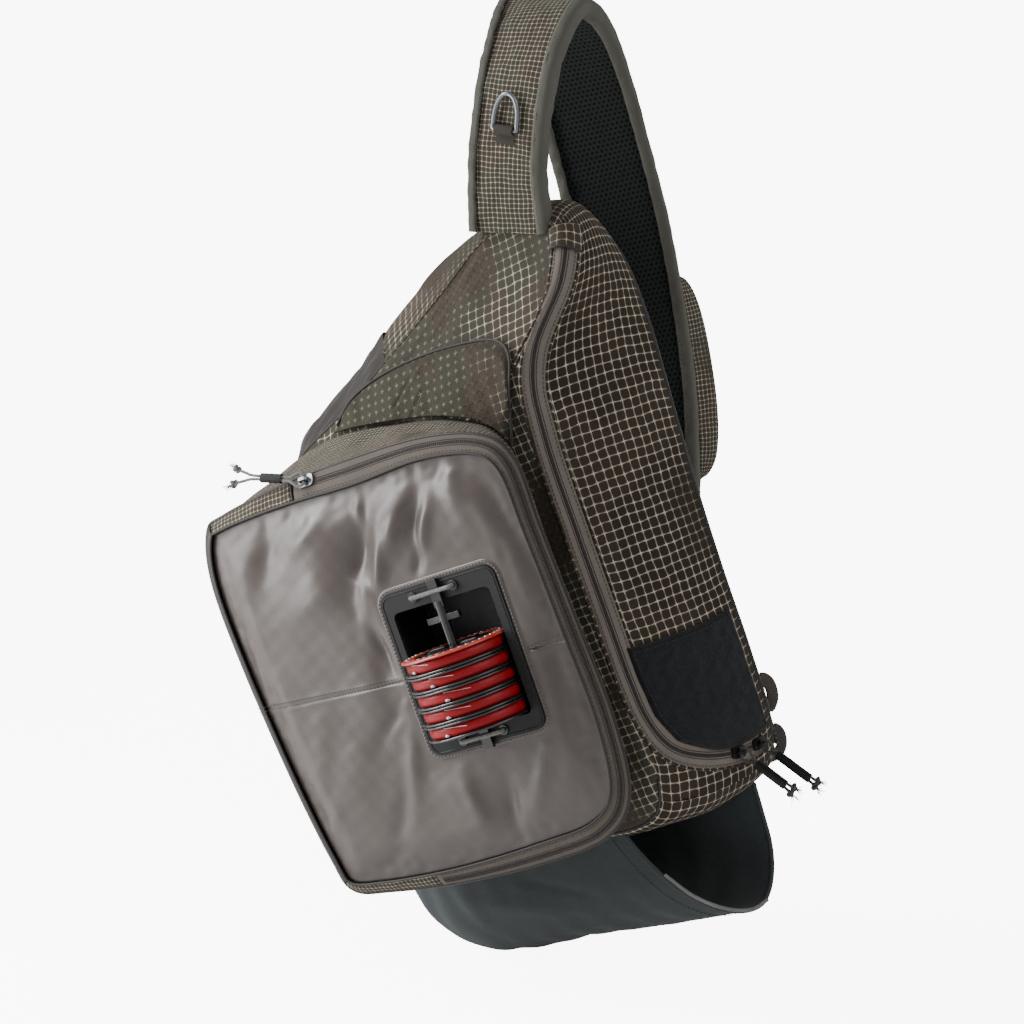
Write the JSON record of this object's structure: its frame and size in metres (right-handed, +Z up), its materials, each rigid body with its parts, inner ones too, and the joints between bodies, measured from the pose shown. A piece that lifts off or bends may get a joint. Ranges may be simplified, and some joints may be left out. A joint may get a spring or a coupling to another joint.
{
  "type": "sling bag",
  "caption": "Fishing tackle sling bag of coated and ripstop cloth, hung by its padded strap, with a front pocket, a spool dock, a side zip and an open bottle sleeve.",
  "frame": {"origin": "under the top of the padded strap, where the hook or shoulder that holds the bag up touches it", "axes": "+Z up as the bag hangs, +X to the right seen from its front, -Y to the front, away from the wearer"},
  "size_m": [0.3831, 0.3269, 0.6378],
  "materials": {
    "ripstop": "woven, matt, with a pale grid",
    "coated": "coated cloth with a soft sheen",
    "dark_coated": "coated cloth, satin",
    "zip_tape": "twill",
    "fleece": "heathered fleece",
    "mesh": "spacer mesh",
    "binding": "webbing",
    "rubber": "satin",
    "black_plastic": "gloss",
    "red_band": "satin",
    "cord": "braided",
    "stretch": "smooth stretch cloth",
    "metal": "satin"
  },
  "bodies": {
    "bag": {"main_body": "ripstop", "side_panel": "ripstop", "main_zip_tape": "zip_tape", "fleece_patch": "fleece", "back_panel": "mesh", "upper_pocket": "ripstop", "front_pocket": "ripstop", "front_zip_tape": "zip_tape", "front_piping": "dark_coated", "front_panel": "coated", "dock_panel": "rubber", "dock_recess": "rubber", "dock_eyelet_1": "black_plastic", "dock_eyelet_2": "black_plastic", "dock_eyelet_3": "black_plastic", "dock_eyelet_4": "black_plastic", "dock_cord_top": "cord", "dock_cord_bottom": "cord", "tippet_bar": "black_plastic", "bottle_sleeve": "stretch", "sleeve_cord": "cord", "strap": "ripstop", "strap_lining": "mesh", "strap_binding_left": "binding", "strap_binding_right": "binding", "strap_pocket": "ripstop", "ring_keeper": "zip_tape", "strap_buckle": "black_plastic", "strap_wing": "ripstop", "lower_strap": "binding", "web_loop": "zip_tape", "corner_loop": "binding", "main_zip_front_slider": "black_plastic", "main_zip_front_cord": "cord", "main_zip_front_tube": "black_plastic", "main_zip_back_slider": "black_plastic", "main_zip_back_cord": "cord", "main_zip_back_tube": "black_plastic", "front_zip_slider": "metal", "front_zip_cord": "cord", "front_zip_tube": "black_plastic"},
    "top_spool": {"spool_1": "black_plastic", "spool_band_1": "red_band"},
    "second_spool": {"spool_2": "black_plastic", "spool_band_2": "red_band"},
    "third_spool": {"spool_3": "black_plastic", "spool_band_3": "red_band"},
    "fourth_spool": {"spool_4": "black_plastic", "spool_band_4": "red_band"},
    "bottom_spool": {"spool_5": "black_plastic", "spool_band_5": "red_band"},
    "ring": {"d_ring": "metal"}
  },
  "joints": [
    {"name": "top_spool_turn", "type": "hinge", "parent": "bag", "child": "top_spool", "pos_m": [0.03476, -0.18453, -0.38372], "axis": [-0.3746, 0, 0.9272], "continuous": true},
    {"name": "second_spool_turn", "type": "hinge", "parent": "bag", "child": "second_spool", "pos_m": [0.03877, -0.18453, -0.39364], "axis": [-0.3746, 0, 0.9272], "continuous": true},
    {"name": "third_spool_turn", "type": "hinge", "parent": "bag", "child": "third_spool", "pos_m": [0.04278, -0.18453, -0.40356], "axis": [-0.3746, 0, 0.9272], "continuous": true},
    {"name": "fourth_spool_turn", "type": "hinge", "parent": "bag", "child": "fourth_spool", "pos_m": [0.04678, -0.18453, -0.41348], "axis": [-0.3746, 0, 0.9272], "continuous": true},
    {"name": "bottom_spool_turn", "type": "hinge", "parent": "bag", "child": "bottom_spool", "pos_m": [0.05079, -0.18453, -0.4234], "axis": [-0.3746, 0, 0.9272], "continuous": true},
    {"name": "ring_swing", "type": "hinge", "parent": "bag", "child": "ring", "pos_m": [0.00194, -0.05995, -0.07052], "axis": [0.9969, -0.0248, -0.0748], "range_deg": [0, 165]}
  ]
}
